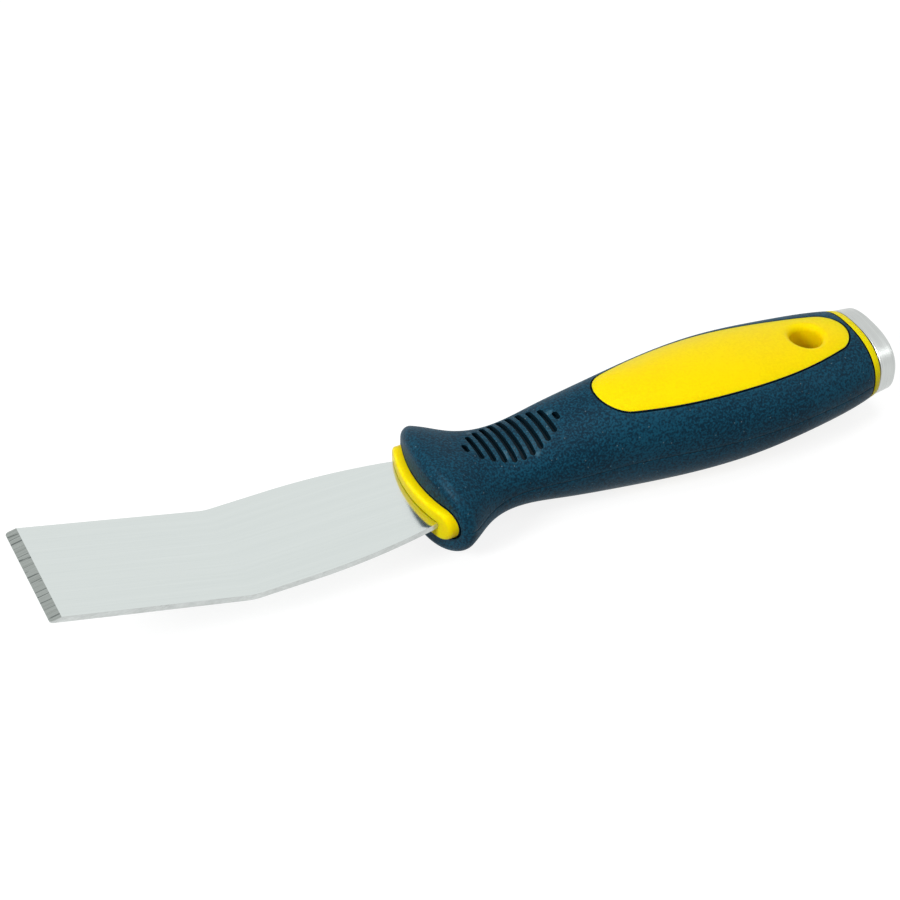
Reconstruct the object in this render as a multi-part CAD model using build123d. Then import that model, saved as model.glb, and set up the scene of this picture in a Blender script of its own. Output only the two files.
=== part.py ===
from build123d import *
import os
from math import cos, sin, tan, pi, radians, copysign

# Offset scraper: a bent steel blade whose tang runs through a two-material handle to a steel strike cap.
# X runs from the strike face to the blade's tip, Y across the handle, Z up, on the side the blade bends to.
# The origin is the middle of the strike face. All sizes are in millimetres.

# Lengths along the handle, from the strike face forward and from the grip's front back
grip_front = 129.6
grip_length = 121.9
ring_length = 2.65

# Handle sections: distance behind the grip's front, half width and half height
flange_back = 3.6
flange_half_width = 19.8
flange_half_height = 11.8
throat_back = 13.0
throat_half_width = 14.2
throat_half_height = 9.5
neck_back = 21.5
neck_half_width = 11.2
neck_half_height = 8.8
thumb_back = 36.0
thumb_half_width = 12.3
thumb_half_height = 10.6
shoulder_back = 50.0
shoulder_half_width = 13.3
shoulder_half_height = 13.3
belly_back = 66.0
belly_half_width = 15.8
belly_half_height = 14.3
palm_back = 86.0
palm_half_width = 18.1
palm_half_height = 13.4
heel_back = 106.0
heel_half_width = 17.0
heel_half_height = 11.3
butt_half_width = 13.9
butt_half_height = 9.8
ring_half_width = 13.1
ring_half_height = 9.4
oval_power = 2.3
oval_points = 24

# Front of the handle
front_radius = 40.0
flange_rim_radius = 2.4
collar_proud = 2.3
collar_half_width = 16.4
collar_half_height = 4.3
collar_edge_radius = 0.8
collar_root = 9.0

# Soft grip
grip_wall = 2.2
flange_wall = 2.6
comb_middle = 25.3
comb_pitch = 2.44
comb_slots = 9
comb_slot_width = 1.4
comb_slot_depth = 1.6
comb_long_half = 7.6
comb_short_half = 4.5
comb_dot_length = 2.9

# Inset panels: distances behind the grip's front and half widths of their outline
panel_nose = 48.4
panel_nose_corner = 48.9
panel_nose_half_width = 6.65
panel_waist = 83.2
panel_half_width = 12.0
panel_tail_corner = 116.3
panel_tail_half_width = 7.2
panel_tail = 120.8
panel_nose_radius = 8.2
panel_tail_radius = 5.4

# Hanging hole
hang_back = 109.0
hang_diameter = 8.2
hang_mouth_radius = 1.9
hang_lining = 2.0

# Strike cap
cap_power = 2.5
cap_front_half_width = 12.9
cap_front_half_height = 9.2
cap_end_half_width = 12.3
cap_end_half_height = 8.8
cap_wall = 1.5
cap_end_wall = 2.2
cap_edge_radius = 0.8
cap_lip_chamfer = 0.35
cap_clearance = 0.1

# Blade
blade_width = 31.75
blade_thickness = 1.5
blade_reach = 48.2
blade_front_length = 49.0
bend_degrees = 15.5
bend_radius = 12.0
bevel_run = 2.5
edge_thickness = 0.25
blade_root_width = 24.7
blade_taper_length = 33.0

# Tang
shoulder_depth = 5.0
shoulder_radius = 1.5
tang_width = 13.0
tang_flare_start = 84.0
tang_flare_end = 95.0
tang_pad_width = 20.0
lock_hole_diameter = 6.0
lock_hole_backs = (42.0, 66.0)
tenon_width = 8.0
peen_length = 1.0
peen_spread = 0.8

# Places worked out from the sizes above
grip_rear = grip_front - grip_length
ring_rear = grip_rear - ring_length
blade_root = grip_front
reach_end = blade_root + blade_reach
clear = 60.0


def oval(x, half_width, half_height, power=oval_power):
    points = []
    for i in range(oval_points):
        turn = 2 * pi * i / oval_points
        across = copysign(abs(cos(turn)) ** (2 / power), cos(turn))
        upward = copysign(abs(sin(turn)) ** (2 / power), sin(turn))
        points.append((x, half_width * across, half_height * upward))
    return Face(Wire(Spline(*points, periodic=True)))


def handle_body(inset):
    sections = [
        (flange_back, flange_half_width, flange_half_height),
        (throat_back, throat_half_width, throat_half_height),
        (neck_back, neck_half_width, neck_half_height),
        (thumb_back, thumb_half_width, thumb_half_height),
        (shoulder_back, shoulder_half_width, shoulder_half_height),
        (belly_back, belly_half_width, belly_half_height),
        (palm_back, palm_half_width, palm_half_height),
        (heel_back, heel_half_width, heel_half_height),
        (grip_length, butt_half_width, butt_half_height),
        (grip_length + ring_length, ring_half_width, ring_half_height),
    ]
    lead = (0.0, flange_half_width, flange_half_height)
    ovals = [oval(grip_front - back, w - inset, h - inset) for back, w, h in [lead] + sections]
    return loft(ovals)


def in_front_of(x):
    # everything ahead of a rounded front whose middle is at x
    block = Pos(x, 0, 0) * Box(front_radius, 2 * clear, 2 * clear)
    return block - Pos(x - front_radius, 0, 0) * Cylinder(front_radius, 2 * clear)


def behind(x):
    return Pos(x - clear, 0, 0) * Box(2 * clear, 2 * clear, 2 * clear)


def panel_outline():
    nose_x = grip_front - panel_nose_corner
    tail_x = grip_front - panel_tail_corner
    nose = (nose_x, panel_nose_half_width), (nose_x, -panel_nose_half_width)
    tail = (tail_x, panel_tail_half_width), (tail_x, -panel_tail_half_width)
    waist_x = grip_front - panel_waist
    outline = ThreePointArc(nose[0], (grip_front - panel_nose, 0), nose[1])
    outline += ThreePointArc(nose[1], (waist_x, -panel_half_width), tail[1])
    outline += ThreePointArc(tail[1], (grip_front - panel_tail, 0), tail[0])
    outline += ThreePointArc(tail[0], (waist_x, panel_half_width), nose[0])
    outline = make_face(outline)
    outline = fillet(outline.vertices().sort_by(Axis.X)[2:], panel_nose_radius)
    return fillet(outline.vertices().sort_by(Axis.X)[:2], panel_tail_radius)


def collar_bar():
    section = SlotOverall(2 * collar_half_width, 2 * collar_half_height)
    section = Plane((grip_front - collar_root, 0, 0), z_dir=(1, 0, 0), x_dir=(0, 1, 0)) * section
    return extrude(section, collar_root + collar_proud)


def comb_cutters():
    middle = grip_front - comb_middle
    last = (comb_slots - 1) / 2
    slots = []
    for i in range(comb_slots):
        step = i - last
        half = comb_short_half + (comb_long_half - comb_short_half) * (1 - (step / last) ** 2)
        slots.append(Pos(middle + step * comb_pitch, 0) * SlotOverall(2 * half, comb_slot_width, rotation=90))
    for end in (-1, 1):
        place = middle + end * (last + 1) * comb_pitch
        slots.append(Pos(place, 0) * SlotOverall(comb_dot_length, comb_slot_width, rotation=90))
    return extrude(Sketch() + slots, clear, both=True)


def make_blade():
    bend = radians(bend_degrees)
    half = blade_thickness / 2
    shift = half * tan(bend / 2)

    def along(run, rise):
        return (
            reach_end + run * cos(bend) - rise * sin(bend),
            run * sin(bend) + rise * cos(bend),
        )

    under = (reach_end + shift, -half)
    over = (reach_end - shift, half)
    tip = along(blade_front_length, -half)
    nose = along(blade_front_length, -half + edge_thickness)
    bevel = along(blade_front_length - bevel_run, half)
    side = Polyline((0, -half), under, tip, nose, bevel, over, (0, half), close=True)
    side = make_face(side)
    side = fillet(side.vertices().sort_by_distance(under)[0], bend_radius + blade_thickness)
    side = fillet(side.vertices().sort_by_distance(over)[0], bend_radius)
    strip = extrude(Plane.XZ * side, blade_width / 2, both=True)

    taper_start = blade_root + blade_taper_length
    drop = (blade_width - blade_root_width) / 2
    taper_radius = (blade_taper_length ** 2 + drop ** 2) / (2 * drop)
    mid_run = blade_taper_length / 2
    mid_drop = taper_radius - (taper_radius ** 2 - mid_run ** 2) ** 0.5
    shoulder_x = grip_front - shoulder_depth
    pad_end = cap_end_wall
    outline = [
        (shoulder_x, blade_root_width / 2),
        (shoulder_x, tang_width / 2),
        (grip_front - tang_flare_start, tang_width / 2),
        (grip_front - tang_flare_end, tang_pad_width / 2),
        (pad_end, tang_pad_width / 2),
        (pad_end, tenon_width / 2),
        (0, tenon_width / 2),
    ]
    ahead = reach_end + blade_front_length
    plan = Polyline((ahead, 0), (ahead, blade_width / 2), (taper_start, blade_width / 2))
    plan += ThreePointArc(
        (taper_start, blade_width / 2),
        (taper_start - mid_run, blade_width / 2 - mid_drop),
        (blade_root, blade_root_width / 2),
    )
    plan += Polyline((blade_root, blade_root_width / 2), *outline, (0, 0), (ahead, 0))
    plan = make_face(plan)
    plan = fillet(plan.vertices().sort_by_distance((shoulder_x, tang_width / 2))[0], shoulder_radius)
    plan += mirror(plan, Plane.XZ)
    for back in lock_hole_backs:
        plan -= Pos(grip_front - back, 0) * Circle(lock_hole_diameter / 2)
    plan -= Pos(grip_front - hang_back, 0) * Circle(hang_diameter / 2 + hang_lining)
    flat = strip & extrude(plan, clear, both=True)

    def peen_section(x, spread):
        return Plane((x, 0, 0), z_dir=(1, 0, 0), x_dir=(0, 1, 0)) * Rectangle(
            tenon_width + 2 * spread, blade_thickness + 2 * spread
        )

    return flat + loft([peen_section(0, peen_spread), peen_section(peen_length, 0)])


def make_cap():
    shell = loft(
        [
            oval(0, cap_end_half_width, cap_end_half_height, cap_power),
            oval(ring_rear, cap_front_half_width, cap_front_half_height, cap_power),
        ]
    )
    rims = shell.edges().sort_by(Axis.X)
    shell = chamfer(rims[-1], cap_lip_chamfer)
    shell = fillet(shell.edges().sort_by(Axis.X)[0], cap_edge_radius)
    return shell


def cap_socket(gap):
    shrink = cap_wall + gap
    return loft(
        [
            oval(cap_end_wall, cap_end_half_width - shrink, cap_end_half_height - shrink, cap_power),
            oval(ring_rear, cap_front_half_width - shrink, cap_front_half_height - shrink, cap_power),
        ]
    )


def make_inner():
    return handle_body(grip_wall) - in_front_of(grip_front - flange_wall)


def make_collar():
    collar = collar_bar() - in_front_of(grip_front + collar_proud)
    return fillet(collar.faces().sort_by(Axis.X)[-1].edges(), collar_edge_radius)


def make_core(outer, inner, panels, blade):
    core = inner + make_collar()
    core += outer & panels
    core += outer & behind(grip_rear)
    core += cap_socket(cap_clearance)
    hole = Pos(grip_front - hang_back, 0, 0) * Cylinder(hang_diameter / 2, 2 * clear)
    drilled = core - hole
    mouths = new_edges(core, hole, combined=drilled).filter_by(GeomType.LINE, reverse=True)
    return fillet(mouths, hang_mouth_radius) - blade


def make_grip(outer, inner, panels):
    grip = outer - in_front_of(grip_front) - behind(grip_rear)
    grip = fillet(grip.edges().sort_by(Axis.X)[-1], flange_rim_radius)
    grip -= inner
    grip -= panels
    grip -= collar_bar()
    return grip - (comb_cutters() - handle_body(comb_slot_depth))


os.makedirs("parts", exist_ok=True)

outer = handle_body(0)
inner = make_inner()
panels = extrude(panel_outline(), clear, both=True)
blade = make_blade()
core = make_core(outer, inner, panels, blade)
grip = make_grip(outer, inner, panels)
cap = make_cap() - cap_socket(0) - blade

export_step(blade, "parts/blade.step")
export_step(core, "parts/handle_core.step")
export_step(grip, "parts/soft_grip.step")
export_step(cap, "parts/strike_cap.step")
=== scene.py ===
import bmesh
import bpy
import numpy as np
from mathutils import Matrix, Vector
from mathutils.geometry import delaunay_2d_cdt


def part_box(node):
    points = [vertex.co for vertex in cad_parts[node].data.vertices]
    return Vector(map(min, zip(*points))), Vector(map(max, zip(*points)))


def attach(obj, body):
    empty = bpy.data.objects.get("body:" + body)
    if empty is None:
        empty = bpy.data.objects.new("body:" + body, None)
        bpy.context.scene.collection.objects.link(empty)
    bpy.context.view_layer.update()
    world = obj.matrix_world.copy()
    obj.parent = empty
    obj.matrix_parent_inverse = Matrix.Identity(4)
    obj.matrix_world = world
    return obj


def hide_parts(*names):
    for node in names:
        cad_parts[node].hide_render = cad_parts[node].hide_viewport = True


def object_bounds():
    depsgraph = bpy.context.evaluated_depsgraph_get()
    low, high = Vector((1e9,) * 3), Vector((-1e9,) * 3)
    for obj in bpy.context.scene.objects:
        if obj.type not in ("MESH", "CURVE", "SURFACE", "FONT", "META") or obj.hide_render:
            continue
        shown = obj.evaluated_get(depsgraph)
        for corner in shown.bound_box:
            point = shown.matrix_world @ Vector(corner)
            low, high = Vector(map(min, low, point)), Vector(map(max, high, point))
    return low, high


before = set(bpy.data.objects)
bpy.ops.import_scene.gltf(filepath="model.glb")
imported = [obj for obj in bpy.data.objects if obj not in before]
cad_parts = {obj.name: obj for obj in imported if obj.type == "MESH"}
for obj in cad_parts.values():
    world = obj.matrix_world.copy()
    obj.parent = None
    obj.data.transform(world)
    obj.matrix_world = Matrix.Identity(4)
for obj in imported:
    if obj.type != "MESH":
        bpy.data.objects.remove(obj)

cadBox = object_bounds()
scene = bpy.context.scene
mm = 0.001
weld = 0.002  # mm, points nearer than this are one point
sliver = 1e-7  # metres, edges shorter than this are dissolved


# small geometry helpers
def smoothLine(knots, values):
    # natural cubic spline, level past its ends
    knots, values = np.array(knots, float), np.array(values, float)
    gap, rise = np.diff(knots), np.diff(values)
    count = len(knots)
    system, wanted = np.eye(count), np.zeros(count)
    for i in range(1, count - 1):
        system[i, i - 1:i + 2] = gap[i - 1], 2 * (gap[i - 1] + gap[i]), gap[i]
        wanted[i] = 6 * (rise[i] / gap[i] - rise[i - 1] / gap[i - 1])
    bend = np.linalg.solve(system, wanted)

    def at(x):
        x = np.clip(x, knots[0], knots[-1])
        k = np.clip(np.searchsorted(knots, x) - 1, 0, count - 2)
        h, a, b = gap[k], knots[k + 1] - x, x - knots[k]
        return (
            (bend[k] * a ** 3 + bend[k + 1] * b ** 3) / (6 * h)
            + (values[k] / h - bend[k] * h / 6) * a
            + (values[k + 1] / h - bend[k + 1] * h / 6) * b
        )

    return at


def columns(*parts):
    # columns side by side; a lone number fills its column
    count = max(len(part) for part in parts if np.ndim(part))
    return np.column_stack([part if np.ndim(part) else np.full(count, part) for part in parts])


def unit(ways):
    return ways / np.linalg.norm(ways, axis=-1, keepdims=True)


def signedPower(value, power):
    return np.sign(value) * np.abs(value) ** power


def arcPoints(centre, radius, start, end, count):
    turn = np.linspace(start, end, count)
    return np.stack([centre[0] + radius * np.cos(turn), centre[1] + radius * np.sin(turn)], -1)


def stadium(centre, reach, radius, arcCount, sideCount):
    # round-ended outline; its long way is the second axis, and reach is half its straight part
    arc = arcPoints((0, reach), radius, 0, np.pi, arcCount)
    side = np.linspace(reach, -reach, sideCount + 2)[1:-1]
    half = np.vstack([arc, columns(-radius, side)])
    return np.vstack([half, -half]) + np.array(centre)


def offsetLoop(loop, distance):
    # moves a closed outline, drawn anticlockwise, outwards by distance
    ahead = unit(np.roll(loop, -1, 0) - loop)
    behind = np.roll(ahead, 1, 0)
    way = (ahead + behind)[:, ::-1] * (1, -1)
    return loop + way * distance / (1 + (ahead * behind).sum(1, keepdims=True))


def insideLoops(points, loops):
    # odd number of crossings of all loops together
    odd = np.zeros(len(points), bool)
    for loop in loops:
        for (x1, y1), (x2, y2) in zip(loop, np.roll(loop, -1, 0)):
            if y1 == y2:
                continue
            crosses = (y1 > points[:, 1]) != (y2 > points[:, 1])
            where = x1 + (points[:, 1] - y1) * (x2 - x1) / (y2 - y1)
            odd ^= crosses & (points[:, 0] < where)
    return odd


def fillSheet(loops, spacing, lines=()):
    # triangles over the area between the first loop and the others, with edges along the lines
    rowShare, borderShare = 0.866, 0.6  # of the spacing: between rows, and kept free beside a border
    chunk, tolerance = 200, 1e-6
    low, high = loops[0].min(0), loops[0].max(0)
    across, along = np.meshgrid(
        np.arange(low[1], high[1], spacing * rowShare), np.arange(low[0], high[0], spacing), indexing="ij"
    )
    along[::2] += spacing / 2
    grid = columns(along.ravel(), across.ravel())
    grid = grid[insideLoops(grid, loops)]
    border = np.vstack([*loops, *lines])
    near = np.full(len(grid), np.inf)
    for part in np.array_split(border, max(1, len(border) // chunk)):
        apart = grid[:, None, :] - part[None, :, :]
        near = np.minimum(near, np.hypot(apart[..., 0], apart[..., 1]).min(1))
    grid = grid[near > borderShare * spacing]
    edges, first = [], 0
    for loop in loops:
        edges += [(first + i, first + (i + 1) % len(loop)) for i in range(len(loop))]
        first += len(loop)
    for line in lines:
        edges += [(first + i, first + i + 1) for i in range(len(line) - 1)]
        first += len(line)
    points = [Vector(p) for p in np.vstack([border, grid])]
    flat, _, faces = delaunay_2d_cdt(points, edges, [], 1, tolerance)[:3]
    flat = np.array([tuple(p) for p in flat])
    faces = np.array([tuple(f) for f in faces])
    return flat, faces[insideLoops(flat[faces].mean(1), loops)]


def newObject(name, data):
    item = bpy.data.objects.new(name, data)
    scene.collection.objects.link(item)
    return item


class Shell:
    # gathers sheets and strips of points, and welds them into one closed mesh
    def __init__(self):
        self.points, self.faces, self.count = [], [], 0

    def add(self, points, faces):
        self.points.append(np.asarray(points, float))
        self.faces += [tuple(int(i) + self.count for i in f) for f in faces]
        self.count += len(points)

    def sheet(self, loops, spacing, lift, *settings):
        # a filled outline, which lift takes to its place
        flat, faces = fillSheet(loops, spacing)
        self.add(lift(flat, *settings), faces)

    def strip(self, rows, closed=True):
        # four-cornered faces between each row of points and the next
        width, faces = len(rows[0]), []
        for low in range(0, (len(rows) - 1) * width, width):
            for i in range(width if closed else width - 1):
                j = (i + 1) % width
                faces.append((low + i, low + j, low + width + j, low + width + i))
        self.add(np.vstack(rows), faces)

    def mirrored(self):
        # the same again under the Z = 0 plane
        points, faces = np.vstack(self.points), list(self.faces)
        self.add(points * (1, 1, -1), [f[::-1] for f in faces])

    def build(self, name, material, crease=None):
        mesh = bpy.data.meshes.new(name)
        mesh.from_pydata((np.vstack(self.points) * mm).tolist(), [], self.faces)
        work = bmesh.new()
        work.from_mesh(mesh)
        bmesh.ops.remove_doubles(work, verts=work.verts, dist=weld * mm)
        bmesh.ops.dissolve_degenerate(work, edges=work.edges, dist=sliver)
        bmesh.ops.recalc_face_normals(work, faces=work.faces)
        openEdges = sum(1 for e in work.edges if len(e.link_faces) != 2)
        for face in work.faces:
            face.smooth = True
        if crease is not None:
            for edge in work.edges:
                edge.smooth = edge.calc_face_angle(0) < crease
        work.to_mesh(mesh)
        work.free()
        mesh.materials.append(material)
        piece = newObject(name, mesh)
        print(f"{name}: {len(mesh.polygons)} faces, {openEdges} open edges")
        return piece


# the handle's outer form, shared by the grip, the inset panels and the rear ring
gripLow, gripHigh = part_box("soft_grip")
gripRear, gripFront = gripLow.x / mm, gripHigh.x / mm
handle = {
    "power": 2.3,
    # behind the front, half width, half height
    "sections": [
        (0.0, 19.7, 11.75), (3.6, 19.7, 11.75), (13.0, 14.2, 9.5), (21.5, 11.2, 8.8), (36.0, 12.3, 10.6),
        (50.0, 13.3, 13.25), (66.0, 15.8, 14.25), (86.0, 18.05, 13.4), (106.0, 17.0, 11.3),
        (121.9, 13.9, 9.8), (124.55, 13.1, 9.4),
    ],
    "frontRadius": 40.0,
}
backs, halfWidths, halfHeights = zip(*handle["sections"])
halfWidthAt, halfHeightAt = smoothLine(backs, halfWidths), smoothLine(backs, halfHeights)


def skin(x, turn, inset=0.0):
    # a point of the handle's oval skin; turn 0 is the +Y side and a quarter turn the top
    back = gripFront - np.asarray(x, float)
    share = 2 / handle["power"]
    y = (halfWidthAt(back) - inset) * signedPower(np.cos(turn), share)
    z = (halfHeightAt(back) - inset) * signedPower(np.sin(turn), share)
    return np.stack([np.broadcast_to(x, y.shape), y, z], -1)


def skinNormal(points):
    back, step, power = gripFront - points[..., 0], 0.05, handle["power"]
    lean, ways = 0.0, []
    for halfAt, value in ((halfWidthAt, points[..., 1]), (halfHeightAt, points[..., 2])):
        half, widen = halfAt(back), (halfAt(back - step) - halfAt(back + step)) / (2 * step)
        lean = lean - (np.abs(value) / half) ** power * widen / half
        ways.append(signedPower(value / half, power - 1) / half)
    return unit(np.stack([lean, *ways], -1))


def turnAt(x, y, inset=0.0):
    # the turn of the upper skin's point that lies over x, y
    share = y / (halfWidthAt(gripFront - x) - inset)
    return np.arccos(np.clip(signedPower(share, handle["power"] / 2), -1, 1))


def turnOfHeight(x, z):
    share = np.clip(z / halfHeightAt(gripFront - x), 0, 1)
    return np.arcsin(share ** (handle["power"] / 2))


def overPlan(plan, sink=0.0, inset=0.0):
    # plan points lifted onto the upper skin and let down by sink
    points = skin(plan[:, 0], turnAt(plan[:, 0], plan[:, 1], inset), inset)
    points[:, 2] -= sink
    return points


def frontFace(y):
    return gripFront - handle["frontRadius"] + np.sqrt(handle["frontRadius"] ** 2 - y ** 2)


# inset panels: one moulding from panel to panel, joined by the hanging hole's lining
panel = {
    "nose": 48.4, "noseCorner": 48.9, "noseHalfWidth": 6.65, "noseRadius": 8.2,
    "waist": 83.2, "waistHalfWidth": 12.0,
    "tailCorner": 116.3, "tailHalfWidth": 7.2, "tail": 120.8, "tailRadius": 5.4,
    "lip": 0.22, "gap": 0.34,  # rounding of both rims at the seam, and the seam's own width
    "arcCounts": (16, 12, 120, 4, 22), "sheetSpacing": 0.9, "underside": 3.0, "liningWall": 1.5,
    "ledgeTop": 4.2, "ledgeReach": 0.9,  # the core's width below the grip, which closes the seam from below
}


def circleThrough(p, q, r):
    # its centre and radius
    rows = np.array([q, r]) - p
    centre = np.linalg.solve(2 * rows, (rows ** 2).sum(1))
    return p + centre, np.hypot(*centre)


def panelOutline(grow):
    # nose arc, corner, flank, corner and tail arc of one side, then the other side; grow moves it outwards
    nose, tail = gripFront - panel["nose"], gripFront - panel["tail"]
    noseCorner = np.array([gripFront - panel["noseCorner"], panel["noseHalfWidth"]])
    waist = np.array([gripFront - panel["waist"], panel["waistHalfWidth"]])
    tailCorner = np.array([gripFront - panel["tailCorner"], panel["tailHalfWidth"]])
    mirror = np.array([1, -1])
    circles = [
        circleThrough(noseCorner, np.array([nose, 0.0]), noseCorner * mirror),
        circleThrough(noseCorner, waist, tailCorner),
        circleThrough(tailCorner, np.array([tail, 0.0]), tailCorner * mirror),
    ]
    arcs = circles[:1]
    roundings = (noseCorner, panel["noseRadius"]), (tailCorner, panel["tailRadius"])
    for (c1, r1), (c2, r2), (corner, radius) in zip(circles, circles[1:], roundings):
        # the small arc that touches both circles from inside, near their corner
        left, right, apart = r1 - radius, r2 - radius, np.hypot(*(c2 - c1))
        along = (apart ** 2 + left ** 2 - right ** 2) / (2 * apart)
        side, way = np.sqrt(left ** 2 - along ** 2), (c2 - c1) / apart
        places = [c1 + way * along + side * s * np.array([-way[1], way[0]]) for s in (1, -1)]
        arcs += [(min(places, key=lambda c: np.hypot(*(c - corner))), radius), (c2, r2)]
    turns = [0.0]
    for k in range(4):
        # each joint lies in line with its two arcs' centres
        way = (arcs[k + 1][0] - arcs[k][0]) * (1, -1)[k % 2]
        turns.append(np.arctan2(way[1], way[0]))
    turns.append(np.pi)
    half = [
        arcPoints(centre, radius + grow, start, end, count)[:-1]
        for (centre, radius), start, end, count in zip(arcs, turns, turns[1:], panel["arcCounts"])
    ]
    half = np.vstack(half + [[[tail - grow, 0.0]]])
    return np.vstack([half, (half * mirror)[-2:0:-1]])


hole = {"radius": 4.1, "mouth": 1.9, "back": 109.0, "points": 72}


def holeRing(radius):
    return arcPoints((gripFront - hole["back"], 0.0), radius, 0, 2 * np.pi, hole["points"] + 1)[:-1]


def quarterRound(radius, count=5):
    # how far in from the rim and how far down, from the flat to the wall
    turn = np.linspace(0, np.pi / 2, count)
    return list(zip(radius * np.sin(turn), radius * (1 - np.cos(turn))))


def makePanels(material):
    shell = Shell()
    rim = -(panel["gap"] / 2 + panel["lip"])
    mouth = hole["radius"] + hole["mouth"]
    shell.sheet([panelOutline(rim), holeRing(mouth)], panel["sheetSpacing"], overPlan)
    rows = [overPlan(panelOutline(rim + way), sink) for way, sink in quarterRound(panel["lip"])]
    wall, ledge = panelOutline(rim + panel["lip"]), panelOutline(panel["ledgeReach"])
    bottom = columns(wall, panel["ledgeTop"])
    rows += [rows[-1] * (1, 1, 1 - k / 6) + bottom * (0, 0, k / 6) for k in range(1, 7)]
    rows += [columns(ledge, panel["ledgeTop"]), columns(ledge, panel["underside"])]
    shell.strip(rows)
    rows = [overPlan(holeRing(mouth - way), sink) for way, sink in quarterRound(hole["mouth"], 9)]
    rows += [rows[-1] * (1, 1, 1 - k / 10) for k in range(1, 11)]
    shell.strip(rows)
    lining = holeRing(hole["radius"] + panel["liningWall"])
    shell.sheet([ledge, lining], 4 * panel["sheetSpacing"], columns, panel["underside"])
    shell.strip([columns(lining, panel["underside"] * (1 - k / 2)) for k in range(3)])
    shell.mirrored()
    return shell.build("inset_panels", material)


# soft grip
grip = {
    "lip": 0.25, "wall": 2.2, "frontWall": 2.6,
    "flangeRows": 9.6,  # behind the front, where the flange's own rows of points end
    "rimRadius": 2.4, "rimHold": 0.55, "rimRows": 10, "bodyRows": 8, "faceRows": 8,
    # the moulding line round the sides: height above the middle, depth
    "parting": ((0.0, 0.13), (0.1, 0.09), (0.2, 0.03), (0.36, 0.0)),
    "columnCount": 68, "sheetSpacing": 0.85, "sheetScale": 14.0,
}
comb = {
    "middle": 25.3, "pitch": 2.44, "slots": 9, "slotWidth": 1.4, "depth": 1.6,
    "longHalf": 7.6, "shortHalf": 4.5, "dotLength": 2.9, "lip": 0.13, "floorRadius": 0.25,
}
collar = {
    "halfWidth": 16.4, "halfHeight": 4.3, "proud": 2.3, "root": 9.0, "edge": 0.8,
    "gap": 0.5, "slotPlay": 0.12, "slotLip": 0.2,
}


def gripColumns(x):
    edge = np.array([turnOfHeight(x, height) for height, depth in grip["parting"]])
    middle = np.linspace(edge[-1], np.pi - edge[-1], grip["columnCount"] + 1)[1:-1]
    return np.concatenate([edge, middle, np.pi - edge[::-1]])


def collarHalf(share, grow):
    # upper half of the collar's outline, from its +Y end round to its -Y end
    radius = collar["halfHeight"] + grow
    reach = collar["halfWidth"] - collar["halfHeight"]
    quarter = radius * np.pi / 2
    way = share * 2 * (quarter + reach)
    first = np.clip(way, 0, quarter) / radius
    second = np.clip(way - quarter - 2 * reach, 0, quarter) / radius
    y = reach + radius * (np.cos(first) - np.sin(second)) - np.clip(way - quarter, 0, 2 * reach)
    z = radius * (np.sin(first) + np.cos(second) - 1)
    return y, z


def combOutlines(grow):
    last = (comb["slots"] - 1) / 2
    radius = comb["slotWidth"] / 2
    loops = []
    for step in np.arange(-last - 1, last + 2):
        half = comb["shortHalf"] + (comb["longHalf"] - comb["shortHalf"]) * (1 - (step / last) ** 2)
        if abs(step) > last:
            half = comb["dotLength"] / 2
        middle = gripFront - comb["middle"] + step * comb["pitch"]
        loops.append(stadium((middle, 0), half - radius, radius + grow, 12, max(1, int(half / 0.4))))
    return loops


def unrolled(plan, inset=0.0):
    return columns(plan[:, 0], turnAt(plan[:, 0], plan[:, 1], inset) * grip["sheetScale"])


def rolledOn(flat, inset=0.0):
    return skin(flat[:, 0], flat[:, 1] / grip["sheetScale"], inset)


def sheetBorder(front, rear, stations, skipped):
    # the sheet's outer loop: front columns, one side, rear columns, the other side
    ends = [gripColumns(x)[skipped:len(gripColumns(x)) - skipped] for x in (front, rear)]
    side = np.array([turnOfHeight(x, grip["parting"][skipped][0]) for x in stations])
    return np.vstack([
        columns(front, ends[0]), columns(stations, np.pi - side)[1:-1],
        columns(rear, ends[1])[::-1], columns(stations, side)[::-1][1:-1],
    ]) * (1, grip["sheetScale"])


def addComb(shell):
    # slots for the thumb: rounded lips, walls, rounded floors
    wallDepth = comb["depth"] - comb["floorRadius"]
    drops = [(comb["lip"] - way, sink) for way, sink in quarterRound(comb["lip"], 4)]
    drops += [(0.0, comb["lip"] + (wallDepth - comb["lip"]) * k / 3) for k in (1, 2, 3)]
    drops += [
        (-comb["floorRadius"] * (1 - np.cos(t)), wallDepth + comb["floorRadius"] * np.sin(t))
        for t in np.linspace(0, np.pi / 2, 4)[1:]
    ]
    for rings in zip(*[combOutlines(grow) for grow, sink in drops]):
        shell.strip([overPlan(ring, sink) for ring, (grow, sink) in zip(rings, drops)])
        shell.sheet([rings[-1]], 2 * comb["slotWidth"], overPlan, comb["depth"])


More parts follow.
